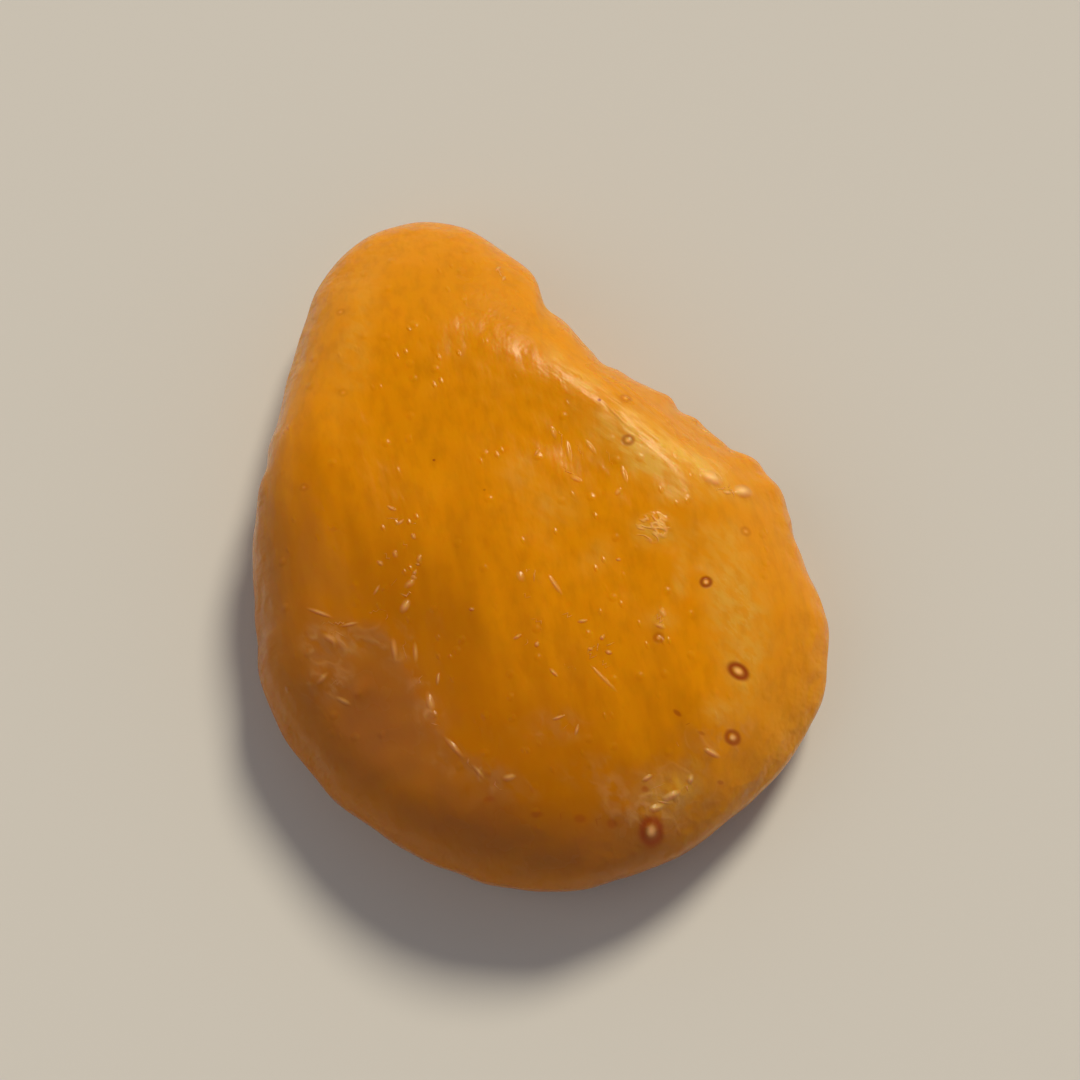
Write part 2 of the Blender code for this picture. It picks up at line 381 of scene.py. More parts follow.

# Browned skin with painted shade over the pressed corner and along the far rim. The last value is how brown
# and shaded the patch is.
BROWNED_SHADES = [
    (-11.0, -13.4, 5.4, 4.4, -45, 0.75),
    (-4.0, -20.4, 6.5, 2.6, -14, 0.70),
    (5.0, -21.6, 5.0, 2.2, 12, 0.50),
]

# The pebbled field beside the torn corner, and the streaked band along the shoulder
PEBBLES = [(-1.4, 15.2, 5.5, 2.8, -50, 1.0)]
STREAKS = [(6.2, 7.6, 10.0, 2.8, -37, 1.0)]

# How far beyond its edge a mark still owns the mesh's points
MARK_MARGIN = 0.6 * MM

# The material's patterns: the size of their features in millimetres, their detail, how far they are stretched
# along their own axes, and how far those are turned from +X in degrees
MOTTLE = (2.2, 2.0, (1.0, 4.5, 1.0), 14)
GRAIN = (0.7, 3.0, (1.0, 2.2, 1.0), 10)
BLOOM_AND_SHEEN_STREAKS = (0.5, 3.0, (3.0, 1.0, 1.0), -38)
# Streaks of the painted sheen in the shoulder band
BAND_SHEEN_STREAKS = (0.6, 3.0, (2.5, 1.0, 1.0), -38)
CRUMPLE_SHEEN_CLOUDS = (0.9, 3.0, (1.5, 1.0, 1.0), -50)
CRUMPLE_SHEEN_CREASES = (1.5, 1.0, (1.5, 1.0, 1.0), -40)
BLISTER_CREASES = (0.62, 1.0, (1.7, 1.0, 1.0), -28)
WRINKLES = (0.9, 2.0, (1.0, 2.0, 1.0), 10)
WAVES = (2.4, 1.0)
PEBBLING = (0.42, 1.0, (1.5, 1.0, 1.0), 60)
STREAKING = (0.75, 2.0, (3.5, 1.0, 1.0), -37)
CRUMPLES = (0.9, 2.0, (1.6, 1.0, 1.0), -45)
RIM_WRINKLES = (1.1, 2.0, (1.0, 1.0, 3.5))
GLINT_CLUSTERS = (5.0, 2.0)
WETNESS = (2.5, 2.0)

# Glints: the size of the cells they stand in, the share of cells that have one, their stretch and their turn
CLUSTERED_GLINTS = (0.8, 0.32, (2.0, 1.0, 1.0), -66)
LONE_GLINTS = (1.7, 0.22)

# Heights of the fine relief, in millimetres
WRINKLE_HEIGHT = 0.06
WAVE_HEIGHT = 0.06
PEBBLE_HEIGHT = 0.08
STREAK_HEIGHT = 0.16
CRUMPLE_HEIGHT = 0.20
CREASE_HEIGHT = 0.07
RIM_WRINKLE_HEIGHT = 0.30
GLINT_HEIGHT = 0.04
FRECKLE_HEIGHT = 0.06
RING_DEPTH = 0.03

# Russet turns to gold in this direction, seen from above, over this distance to each side of the middle, and
# the mottle shifts it by this much, in millimetres. The gold side faces the light, so the turn is partly the
# skin's own tone and partly painted light and shade.
SHADE_AND_TONE_WAY = (0.60, 0.80)
TONE_REACH = 21.0
TONE_MOTTLE = 15.0

# How far the grain turns the skin russet, how strong the painted highlights on welts and creases are, how
# strong the band's painted sheen is between and along its streaks, and how strong the painted glint in the
# freckles' middles is
GRAIN_SHADE = 0.28
WELT_HIGHLIGHT_PER_MM = 3.2
STRONGEST_WELT_HIGHLIGHT = 0.92
CREASE_HIGHLIGHT = 0.30
LEAST_BAND_SHEEN = 0.05
MOST_BAND_SHEEN = 0.42
MIDDLE_GLINT = 0.8

# How much stronger the blister's creases are than those of the crumpled patches with painted sheen
BLISTER_CREASING = 1.6

# The ring of a freckle: where it runs and how far it spreads, in the freckle's own measure
RING_REACH = 0.66
RING_WIDTH = 0.52

# Roughness of the wettest and driest open skin, and what each kind of dry patch adds
WET_ROUGHNESS = 0.16
OPEN_ROUGHNESS = 0.24
BLOOM_AND_SHEEN_DRYNESS = 0.10
CRUMPLE_SHEEN_DRYNESS = 0.06
PEBBLE_DRYNESS = 0.26
STREAK_DRYNESS = 0.10
BROWNED_SHADE_DRYNESS = 0.10

# The flesh's optics: its index of refraction, its shine, how translucent it is, and how far red, green and
# blue light travel in it
REFRACTION = 1.36
SHINE = 0.25
TRANSLUCENCY = 0.7
LIGHT_REACH = 3.0 * MM
LIGHT_SPREAD = (1.0, 0.35, 0.06)


class HalfSettings(bpy.types.PropertyGroup):
    """Sizes and colours of the apricot half."""

    length: FloatProperty(
        name="Length",
        description="From the stem end to the far end",
        default=HIGH.y - LOW.y,
        unit="LENGTH",
    )
    width: FloatProperty(
        name="Width",
        description="Across the two flanks",
        default=HIGH.x - LOW.x,
        unit="LENGTH",
    )
    height: FloatProperty(
        name="Height",
        description="From the feet to the top of the skin",
        default=HIGH.z - LOW.z,
        unit="LENGTH",
    )
    cells: IntProperty(
        name="Cells",
        description="Grid cells along each side of the cube that the form starts from",
        default=125,
        min=8,
    )
    ripple_height: FloatProperty(
        name="Ripples",
        description="Height of the shallow ripples that run over the whole skin",
        default=0.06 * MM,
        unit="LENGTH",
    )
    dimple_height: FloatProperty(
        name="Dimples",
        description="Height of the small dimples near the edges",
        default=0.035 * MM,
        unit="LENGTH",
    )
    swell_height: FloatProperty(
        name="Swells",
        description="Height of the skin's broad swells",
        default=0.45 * MM,
        unit="LENGTH",
    )
    shoulder_height: FloatProperty(
        name="Shoulder",
        description="Height of the ridge where the crown turns down to the right flank",
        default=0.28 * MM,
        unit="LENGTH",
    )
    fold_height: FloatProperty(
        name="Fold",
        description="Height of the fold round the pressed corner",
        default=0.18 * MM,
        unit="LENGTH",
    )
    pucker_height: FloatProperty(
        name="Puckers",
        description="Height of the puckers that cross the rim",
        default=0.25 * MM,
        unit="LENGTH",
    )
    torn_pucker_height: FloatProperty(
        name="Torn edge",
        description="Height of the puckers on the thin torn edge at the right",
        default=0.75 * MM,
        unit="LENGTH",
    )
    lump_height: FloatProperty(
        name="Lumps",
        description="Height of the lumps in the cut flesh",
        default=0.55 * MM,
        unit="LENGTH",
    )
    seam_height: FloatProperty(
        name="Seam",
        description="Height of the seam along the stone hollow",
        default=0.35 * MM,
        unit="LENGTH",
    )
    # The gold side, which faces the light, is partly painted light as well as the skin's own tone
    gold: FloatVectorProperty(
        name="Gold",
        description="Skin at the stem end and on the thin edges",
        default=(0.63, 0.252, 0.0003),
        subtype="COLOR",
    )
    amber: FloatVectorProperty(
        name="Amber",
        description="Skin on the middle of the crown",
        default=(0.68, 0.266, 0.0004),
        subtype="COLOR",
    )
    # Russet at the lower left, away from the light, is partly painted shade as well as the skin's own tone
    russet: FloatVectorProperty(
        name="Russet",
        description="Skin at the far end and the lower left",
        default=(0.42, 0.140, 0.0006),
        subtype="COLOR",
    )
    # Partly the pale colour of drier skin, partly painted sheen
    bloom_and_sheen: FloatVectorProperty(
        name="Bloom",
        description="Pale drier patches of the skin",
        default=(0.67, 0.39, 0.06),
        subtype="COLOR",
    )
    # Painted sheen: a greyish-pink reflection laid over the crumpled skin as colour
    crumple_sheen: FloatVectorProperty(
        name="Haze",
        description="Dull patches over the crumpled skin",
        default=(0.40, 0.18, 0.06),
        subtype="COLOR",
    )
    freckle: FloatVectorProperty(
        name="Freckle",
        description="The rings of the freckles, and the specks",
        default=(0.32, 0.060, 0.004),
        subtype="COLOR",
    )
    # Painted highlights: the glint colour laid on welts, creases, the shoulder band and the freckles' middles
    glint: FloatVectorProperty(
        name="Glint",
        description="Welts and creases, where the skin is drawn thin and pale",
        default=(0.92, 0.56, 0.24),
        subtype="COLOR",
    )
    # Partly browned skin, partly painted shade over the pressed corner and the far rim
    browned_shade: FloatVectorProperty(
        name="Dull",
        description="The pressed corner and the far rim, where the skin has browned",
        default=(0.31, 0.100, 0.016),
        subtype="COLOR",
    )
    cut_orange: FloatVectorProperty(
        name="Cut orange",
        description="Cut flesh on the underside",
        default=(0.58, 0.15, 0.002),
        subtype="COLOR",
    )


class StageSettings(bpy.types.PropertyGroup):
    """Camera, floor and light."""

    elevation: FloatProperty(
        name="Elevation",
        description="How steeply the camera looks down",
        default=math.radians(74),
        subtype="ANGLE",
        unit="ROTATION",
    )
    distance: FloatProperty(
        name="Distance",
        description="From the camera to the half",
        default=0.205,
        unit="LENGTH",
    )
    lens: FloatProperty(
        name="Lens",
        description="Focal length of the camera in millimetres",
        default=100.0,
        unit="CAMERA",
    )
    floor_size: FloatProperty(
        name="Floor",
        description="Side of the square floor",
        default=6.0,
        unit="LENGTH",
    )
    floor_colour: FloatVectorProperty(
        name="Floor colour",
        description="Colour of the floor",
        default=(0.59, 0.60, 0.66),
        subtype="COLOR",
    )
    key_strength: FloatProperty(
        name="Key light",
        description="Strength of the light from the right and behind, in watts a square metre",
        default=2.9,
    )
    fill_strength: FloatProperty(
        name="Fill light",
        description="Strength of the weak broad light from the left, in watts a square metre",
        default=0.35,
    )


def smooth_path(points, closed=False, steps=12):
    """A dense run of points along the Catmull-Rom curve through the given ones."""
    count = len(points)
    spans = count if closed else count - 1
    knots = [Vector((x, y, 0)) for x, y in points]

    def knot(i):
        return knots[i % count] if closed else knots[min(max(i, 0), count - 1)]

    path = []
    for i in range(spans):
        start, end = knot(i), knot(i + 1)
        leave = start + (end - knot(i - 1)) / 6
        arrive = end - (knot(i + 2) - start) / 6
        path += interpolate_bezier(start, leave, arrive, end, steps + 1)[:-1]
    if not closed:
        path.append(knots[-1])
    return np.array([(p.x, p.y) for p in path])


def ease(low, high, value):
    """0 below low, 1 above high, and smooth between."""
    t = np.clip((value - low) / (high - low), 0.0, 1.0)
    return t * t * (3 - 2 * t)


def noise_at(points, size):
    """Smooth noise from -1 to 1 at each point, with features of a size."""
    return np.array([noise.noise(Vector(p) / size) for p in points])


def ridge(x, y, points, width):
    """1 along a path seen from above, fading to 0 beside it and at its ends."""
    path = smooth_path(points)
    distance = np.hypot(x[:, None] - path[:, 0], y[:, None] - path[:, 1])
    nearest = distance.argmin(axis=1)
    ends = np.sqrt(np.abs(np.sin(math.pi * np.linspace(0.0, 1.0, len(path)))))
    return ends[nearest] * np.exp(-((distance.min(axis=1) / width) ** 2))


def section_path(settings):
    """The cross-section as a dense path, and how far along it each point lies, as a share."""
    path = smooth_path(SKIN_SECTION + RIM_SECTION + CUT_SECTION) * (1.0, settings.height)
    steps = np.hypot(np.diff(path[:, 0]) * settings.width / 2, np.diff(path[:, 1]))
    return path, np.concatenate([[0.0], np.cumsum(steps)]) / steps.sum()


def share_of(points, settings):
    """How far along the cross-section the last of its first few points lies, as a share."""
    path, along = section_path(settings)
    spans = len(SKIN_SECTION) + len(RIM_SECTION) + len(CUT_SECTION) - 1
    return along[(points - 1) * (len(path) - 1) // spans]


def reach_at(longitude, across, settings):
    """Distance from the middle in each direction, at a share of the way out to the plan outline."""
    path = smooth_path(OUTLINE, closed=True) * (settings.width / 2, settings.length / 2)
    angles = np.arctan2(path[:, 1], path[:, 0])
    order = np.argsort(angles)
    turn = np.linspace(-math.pi, math.pi, SOFT_STEPS, endpoint=False)
    radii = np.interp(turn, angles[order], np.hypot(path[:, 0], path[:, 1])[order], period=2 * math.pi)
    off = (turn[:, None] - turn + math.pi) % (2 * math.pi) - math.pi
    weight = np.exp(-((off / SOFT_SPREAD) ** 2))
    soft = np.interp(longitude, turn, weight @ radii / weight.sum(axis=1), period=2 * math.pi)
    outline = np.interp(longitude, turn, radii, period=2 * math.pi)
    return across * (soft + (outline - soft) * across**CORNER_FADE)


def rim_lift(longitude):
    """How high the rim waves above its feet, in each direction."""
    lift = np.zeros_like(longitude)
    for i, foot in enumerate(FEET):
        gap = (FEET[(i + 1) % len(FEET)] - foot) % (2 * math.pi)
        way = ((longitude - foot) % (2 * math.pi)) / gap
        lift += np.where(way < 1, LIFTS[i] * np.sin(math.pi * way) ** 2, 0.0)
    return lift


def torn(longitude):
    """1 in the middle of the torn flank, fading to 0 away from it."""
    off = (longitude - TORN_SIDE + math.pi) % (2 * math.pi) - math.pi
    return np.exp(-((off / TORN_SPREAD) ** 2))


def zones(share, settings):
    """How much each point belongs to the skin, the rim, the cut flesh and the hollow."""
    skin_ends = share_of(len(SKIN_SECTION), settings)
    foot = share_of(len(SKIN_SECTION) + FOOT_POINT, settings)
    flesh_starts = share_of(len(SKIN_SECTION + RIM_SECTION), settings)
    hollow_starts = share_of(len(SKIN_SECTION + RIM_SECTION) + HOLLOW_POINT, settings)
    rim_out = 1 - ease(flesh_starts, flesh_starts + FADE, share)
    return {
        "skin": 1 - ease(skin_ends - FADE, skin_ends, share),
        "rim": ease(skin_ends - RIM_FADE, skin_ends, share) * rim_out,
        "cut": ease(foot, flesh_starts + FADE, share),
        "hollow": ease(hollow_starts, hollow_starts + FADE, share),
    }


def puckers(place, longitude, settings):
    """The rim's puckers, as heights."""
    turn = np.column_stack([np.cos(longitude), np.sin(longitude), np.zeros_like(longitude)])
    around = turn * settings.width / 2
    around[:, 2] = place[:, 2] * PUCKER_SIZE / PUCKER_DROP
    extra = settings.torn_pucker_height - settings.pucker_height
    depth = settings.pucker_height + extra * torn(longitude)
    return depth * noise_at(around, PUCKER_SIZE)


def domes(x, y):
    """Heights of the blister and the small lumps."""
    reach = np.hypot(*ovals(x, y, DOMES))
    tops = np.array(DOMES)[:, 5, None] * MM
    return (tops * (1 - ease(0.0, DOME_REACH, reach))).sum(axis=0)


def relief(place, longitude, zone, settings):
    """How far each point stands proud of the plain form, along the plain form's normal."""
    x, y = place[:, 0], place[:, 1]
    pressed = np.hypot(x - PRESSED_CENTRE.x, y - PRESSED_CENTRE.y) / PRESSED_RADIUS
    skin = settings.swell_height * noise_at(place, SWELL_SIZE)
    skin += settings.ripple_height * noise_at(place, RIPPLE_SIZE)
    skin += settings.dimple_height * noise_at(place, DIMPLE_SIZE)
    skin -= GROOVE_DEPTH * ridge(x, y, GROOVE, GROOVE_WIDTH)
    skin += domes(x, y)
    skin += settings.shoulder_height * ridge(x, y, SHOULDER, SHOULDER_WIDTH)
    skin += settings.fold_height * ridge(x, y, FOLD, FOLD_WIDTH)
    skin -= PRESSED_DEPTH * np.exp(-(pressed**2))
    flesh = settings.lump_height * noise_at(place, LUMP_SIZE)
    seam = settings.seam_height * np.exp(-((x / SEAM_WIDTH) ** 2))
    height = zone["skin"] * skin
    height += zone["rim"] * puckers(place, longitude, settings)
    height += zone["cut"] * (1 - zone["hollow"]) * flesh
    height += zone["hollow"] * seam
    return height


def ball_mesh(name, cells):
    """A cube cut into a grid and blown up to an even ball, with no poles."""
    bm = bmesh.new()
    bmesh.ops.create_cube(bm, size=2)
    bmesh.ops.subdivide_edges(bm, edges=bm.edges[:], cuts=cells - 1, use_grid_fill=True)
    for vert in bm.verts:
        vert.co = Vector(math.tan(math.pi / 4 * c) for c in vert.co).normalized()
    mesh = bpy.data.meshes.new(name)
    bm.to_mesh(mesh)
    bm.free()
    return mesh


def coordinates(mesh):
    """The places of the mesh's points, one row each."""
    flat = np.empty(len(mesh.vertices) * 3)
    mesh.vertices.foreach_get("co", flat)
    return flat.reshape(-1, 3)


def set_coordinates(mesh, points):
    """Moves the mesh's points."""
    mesh.vertices.foreach_set("co", points.ravel())
    mesh.update()


def seat(place):
    """Flattens the three feet, then fits the fruit to the frame's box."""
    z = place[:, 2]
    lowest = z.min() + FOOT_SINK
    place = np.column_stack([place[:, 0], place[:, 1], np.maximum(z, lowest)])
    low, high = place.min(axis=0), place.max(axis=0)
    return np.array(LOW) + (place - low) * (np.array(HIGH) - np.array(LOW)) / (high - low)


def ovals(x, y, marks):
    """Each point's place in each mark's own measure, in which the mark's edge is at a distance of 1."""
    middle_x, middle_y, half_length, half_width, turn = (column[:, None] for column in np.array(marks).T[:5])
    off_x, off_y, turn = x / MM - middle_x, y / MM - middle_y, np.radians(turn)
    along = (off_x * np.cos(turn) + off_y * np.sin(turn)) / half_length
    across = (off_y * np.cos(turn) - off_x * np.sin(turn)) / half_width
    return along, across


def nearest_marks(x, y, marks):
    """Each point's place in its nearest mark's own measure, and that mark's strength."""
    along, across = ovals(x, y, marks)
    half_width = np.array(marks)[:, 3, None] * MM
    beyond = (np.hypot(along, across) - 1) * half_width
    nearest = beyond.argmin(axis=0)
    points = np.arange(len(x))
    near = beyond[nearest, points] < MARK_MARGIN
    strength = np.array(marks)[nearest, 5] * near
    return np.column_stack([along[nearest, points], across[nearest, points], strength])


def patches(place, marks):
    """How strongly each point lies in soft ragged patches."""
    along, across = ovals(place[:, 0], place[:, 1], marks)
    ragged = PATCH_RAGGEDNESS * noise_at(place, PATCH_EDGE_SIZE)
    strength = np.array(marks)[:, 5, None]
    return (strength * (1 - ease(0.0, PATCH_REACH, np.hypot(along, across) + ragged))).sum(axis=0)


def add_attribute(mesh, name, values):
    """Keeps one number or one vector for each point of the mesh."""
    kind, key = ("FLOAT", "value") if values.ndim == 1 else ("FLOAT_VECTOR", "vector")
    mesh.attributes.new(name, kind, "POINT").data.foreach_set(key, values.ravel())


def shape_half(mesh, settings):
    """Moves the ball's points to their places on the fruit, and notes each one's zones and marks."""
    ball = coordinates(mesh)
    longitude = np.arctan2(ball[:, 1], ball[:, 0])
    share = np.arccos(np.clip(ball[:, 2], -1.0, 1.0)) / math.pi
    path, along = section_path(settings)
    across = np.interp(share, along, path[:, 0])
    height = np.interp(share, along, path[:, 1])
    on_skin = share < share_of(len(SKIN_SECTION), settings)
    across **= 1 - FULLNESS * (1 + np.cos(longitude - FULL_SIDE)) / 2 * on_skin
    height *= 1 - TORN_THINNING * torn(longitude) * ease(THIN_STARTS, THIN_ENDS, across)
    height += rim_lift(longitude) * ease(LIFT_ENDS, 1.0, across)
    reach = reach_at(longitude, across, settings)
    place = np.column_stack([reach * np.cos(longitude), reach * np.sin(longitude), height])
    set_coordinates(mesh, place)
    normals = np.array([vert.normal for vert in mesh.vertices])
    zone = zones(share, settings)
    place = seat(place + normals * relief(place, longitude, zone, settings)[:, None])
    set_coordinates(mesh, place)
    for name in ("skin", "rim", "cut"):
        add_attribute(mesh, name, zone[name])
    for name, marks in (
        ("bloom_and_sheen", BLOOMS_AND_SHEENS),
        ("crumple_sheen", CRUMPLE_SHEENS),
        ("browned_shade", BROWNED_SHADES),
        ("pebbles", PEBBLES),
        ("streaks", STREAKS),
    ):
        add_attribute(mesh, name, patches(place, marks))
    for name, marks in (("freckle", FRECKLES), ("speck", SPECKS), ("welt", WELTS), ("blister", BLISTERS)):
        add_attribute(mesh, name, nearest_marks(place[:, 0], place[:, 1], marks))


class Number:
    """A number that nodes work out. Python sums on it add Math nodes."""

    def __init__(self, graph, socket):
        self.graph = graph
        self.socket = socket

    def math(self, operation, *others):
        node = self.graph.add("ShaderNodeMath", {"operation": operation}, dict(enumerate((self, *others))))
        return Number(self.graph, node.outputs[0])

    def __add__(self, other):
        return self.math("ADD", other)

    def __sub__(self, other):
        return self.math("SUBTRACT", other)

    def __rsub__(self, other):
        return self.math("MULTIPLY_ADD", -1.0, other)

    def __mul__(self, other):
        return self.math("MULTIPLY", other)

    __radd__ = __add__
    __rmul__ = __mul__

    def ease(self, low, high, start=0.0, end=1.0):
        """Goes smoothly from start to end as the number goes from low to high."""
        node = self.graph.add(
            "ShaderNodeMapRange",
            {"interpolation_type": "SMOOTHSTEP"},
            {"Value": self, "From Min": low, "From Max": high, "To Min": start, "To Max": end},
        )
        return Number(self.graph, node.outputs["Result"])


class Graph:
    """The nodes of one material."""

    def __init__(self, name):
        self.material = bpy.data.materials.new(name)
        self.material.use_nodes = True
        self.tree = self.material.node_tree
        self.surface = self.tree.nodes["Principled BSDF"]
        object_place = self.add("ShaderNodeTexCoord").outputs["Object"]
        scaled = self.add("ShaderNodeVectorMath", {"operation": "SCALE"}, {0: object_place, "Scale": 1 / MM})
        self.place = scaled.outputs["Vector"]
        axes = self.add("ShaderNodeSeparateXYZ", {}, {0: self.place}).outputs
        self.x, self.y = Number(self, axes["X"]), Number(self, axes["Y"])

    def add(self, kind, settings=None, inputs=None):
        """One node of a kind, with its settings set first and then its sockets fed."""
        node = self.tree.nodes.new(kind)
        for name, value in (settings or {}).items():
            setattr(node, name, value)
        for key, value in (inputs or {}).items():
            self.feed(node.inputs[key], value)
        return node

    def feed(self, socket, value):
        """Links a node's result to a socket, or sets the socket's own value."""
        if isinstance(value, Number):
            value = value.socket
        if isinstance(value, bpy.types.NodeSocket):
            self.tree.links.new(value, socket)
        else:
            socket.default_value = value

    def zone(self, name):
        """How much a place belongs to one of the mesh's own zones."""
        node = self.add("ShaderNodeAttribute", {"attribute_name": name})
        return Number(self, node.outputs["Fac"])

    def mix(self, amount, first, second):
        """A colour between two colours."""
        node = self.add("ShaderNodeMix", {"data_type": "RGBA"}, {"Factor": amount, 6: first, 7: second})
        return node.outputs[2]

    def pattern(self, kind, size, stretch, turn, settings=None, inputs=None):
        """A texture with features of a size in millimetres, stretched along turned axes."""
        mapping = self.add(
            "ShaderNodeMapping",
            {"vector_type": "TEXTURE"},
            {"Vector": self.place, "Rotation": (0.0, 0.0, math.radians(turn)), "Scale": stretch},
        )
        fed = {"Vector": mapping.outputs["Vector"], "Scale": 1 / size}
        return self.add(kind, settings, {**fed, **(inputs or {})})

    def noise(self, size, detail=2.0, stretch=(1.0, 1.0, 1.0), turn=0.0):
        """Smooth noise from 0 to 1."""
        node = self.pattern("ShaderNodeTexNoise", size, stretch, turn, None, {"Detail": detail})
        return Number(self, node.outputs["Fac"])

    def uneven(self, pattern):
        """One of the patterns above, from -0.5 to 0.5."""
        return self.noise(*pattern) - 0.5

    def lines(self, pattern, width):
        """Thin lines where one of the patterns above passes its middle: 1 along them and 0 beside them."""
        return self.uneven(pattern).math("ABSOLUTE").ease(0.0, width, 1.0, 0.0)

    def flecks(self, size, share, stretch=(1.0, 1.0, 1.0), turn=0.0):
        """Scattered small dots: 1 in a dot's middle, in a share of the cells of a size, and 0 outside."""
        node = self.pattern("ShaderNodeTexVoronoi", size, stretch, turn, {"voronoi_dimensions": "2D"})
        drawing = self.add("ShaderNodeSeparateColor", {}, {0: node.outputs["Color"]})
        drawn = Number(self, drawing.outputs["Red"])
        dot = Number(self, node.outputs["Distance"]).ease(0.02, 0.22, 1.0, 0.0)
        return dot * drawn.ease(0.98 - share, 1.02 - share)

    def marks(self, name):
        """Distance from the nearest mark's middle, in which its edge is at 1, and the mark's strength."""
        node = self.add("ShaderNodeAttribute", {"attribute_name": name})
        along, across, strength = self.add("ShaderNodeSeparateXYZ", {}, {0: node.outputs["Vector"]}).outputs
        along, across = Number(self, along), Number(self, across)
        return (along * along + across * across).math("SQRT"), Number(self, strength)


def rgba(colour):
    """A colour with full opacity."""
    return (*colour, 1.0)


def skin_masks(graph):
    """How much each place belongs to each region and mark. Patterns and marks fade between ease's numbers."""
    skin = graph.zone("skin")
    # Pale drier skin and painted sheen, broken into streaks
    bloom_and_sheen = graph.zone("bloom_and_sheen") * skin * graph.noise(*BLOOM_AND_SHEEN_STREAKS).ease(0.35, 0.62, 0.45, 1.25)
    # Crumpled skin, painted with a greyish-pink sheen
    crumple_sheen = graph.zone("crumple_sheen") * skin * graph.noise(*CRUMPLE_SHEEN_CLOUDS).ease(0.35, 0.60)
    streaks = graph.zone("streaks")
    blister_reach, blister = graph.marks("blister")
    crumpled = blister_reach.ease(0.6, 1.15, BLISTER_CREASING, 0.0) * blister
    freckle_reach, freckle = graph.marks("freckle")
    freckle = freckle * skin
    ring = (freckle_reach - RING_REACH).math("ABSOLUTE").ease(0.0, RING_WIDTH, 1.0, 0.0)
    speck_reach, speck = graph.marks("speck")
    welt_reach, welt = graph.marks("welt")
    clusters = graph.noise(*GLINT_CLUSTERS).ease(0.46, 0.60)
    return SimpleNamespace(
        skin=skin,
        rim=graph.zone("rim"),
        cut=graph.zone("cut"),
        browned_shade=graph.zone("browned_shade"),
        bloom_and_sheen=bloom_and_sheen,
        crumple_sheen=crumple_sheen,
        pebbles=graph.zone("pebbles"),
        streaks=streaks,
        # The shoulder band's painted sheen, in the glint colour along its streaks
        painted_band_sheen=graph.noise(*BAND_SHEEN_STREAKS).ease(0.40, 0.65, LEAST_BAND_SHEEN, MOST_BAND_SHEEN) * bloom_and_sheen * streaks,
        # Real creases, painted with highlights in the glint colour
        creases=graph.lines(CRUMPLE_SHEEN_CREASES, 0.08) * crumple_sheen + graph.lines(BLISTER_CREASES, 0.10) * crumpled,
        ring=ring * freckle,
        # A painted glint in each freckle's paler middle
        freckle_middle_glint=freckle_reach.ease(0.0, 0.45, 1.0, 0.0) * freckle,
        freckle_swelling=freckle_reach.ease(0.1, 0.6, 1.0, 0.0) * freckle,
        speck=speck_reach.ease(0.4, 1.2, 1.0, 0.0) * speck * skin,
        welt=welt,
        welt_top=welt_reach.ease(0.0, 1.0, 1.0, 0.0) * skin,
        glints=(graph.flecks(*CLUSTERED_GLINTS) * clusters + graph.flecks(*LONE_GLINTS)) * skin,
    )


def tone_and_painted_shade(graph, settings):
    """Gold at the stem end and right edge, amber on the crown, russet at the lower left and in the grain. The
    turn from russet to gold runs towards the light, so it is partly painted light and shade.
    """
    # The turn runs towards the light: partly the skin's own tone, partly painted light and shade
    way = graph.x * SHADE_AND_TONE_WAY[0] + graph.y * SHADE_AND_TONE_WAY[1] + graph.uneven(MOTTLE) * TONE_MOTTLE
    tone = way.ease(-TONE_REACH, TONE_REACH)
    colour = graph.mix(tone.ease(0.0, 0.5), rgba(settings.russet), rgba(settings.amber))
    colour = graph.mix(tone.ease(0.5, 1.0), colour, rgba(settings.gold))
    grain = graph.noise(*GRAIN).ease(0.40, 0.75, 0.0, GRAIN_SHADE)
    return graph.mix(grain, colour, rgba(settings.russet))


def half_colour(graph, at, settings):
    """The skin's tone with its patches and marks, painted light, shade, sheen and highlights among them, and
    the cut flesh below.
    """
    # Painted highlights on the welts' tops and the creases, and the band's painted sheen
    welt_highlights = at.welt_top * (at.welt * WELT_HIGHLIGHT_PER_MM).math("MINIMUM", STRONGEST_WELT_HIGHLIGHT)
    painted_highlights = welt_highlights + (at.creases * CREASE_HIGHLIGHT + at.painted_band_sheen) * at.skin
    colour = tone_and_painted_shade(graph, settings)
    for amount, over in (
        # painted shade over the browned skin of the pressed corner and far rim
        (at.browned_shade * at.skin, settings.browned_shade),
        # pale drier skin and painted sheen
        (at.bloom_and_sheen, settings.bloom_and_sheen),
        # painted sheen over the crumpled skin
        (at.crumple_sheen, settings.crumple_sheen),
        # painted highlights and sheen
        (painted_highlights, settings.glint),
        (at.ring + at.speck, settings.freckle),
        # a painted glint in each freckle's middle
        (at.freckle_middle_glint * MIDDLE_GLINT, settings.glint),
        (at.cut, settings.cut_orange),
    ):
        colour = graph.mix(amount, colour, rgba(over))
    return colour


def fine_relief(graph, at):
    """Height of the relief that is too fine for the mesh, in millimetres."""
    height = graph.uneven(WRINKLES) * WRINKLE_HEIGHT + graph.uneven(WAVES) * WAVE_HEIGHT
    for pattern, where, most in (
        (PEBBLING, at.pebbles, PEBBLE_HEIGHT),
        (STREAKING, at.streaks, STREAK_HEIGHT),
        (CRUMPLES, at.crumple_sheen, CRUMPLE_HEIGHT),
        (RIM_WRINKLES, at.rim, RIM_WRINKLE_HEIGHT),
    ):
        height += graph.uneven(pattern) * where * most
    height += at.creases * CREASE_HEIGHT + at.welt_top * at.welt + at.glints * GLINT_HEIGHT
    return height + at.freckle_swelling * FRECKLE_HEIGHT - at.ring * RING_DEPTH


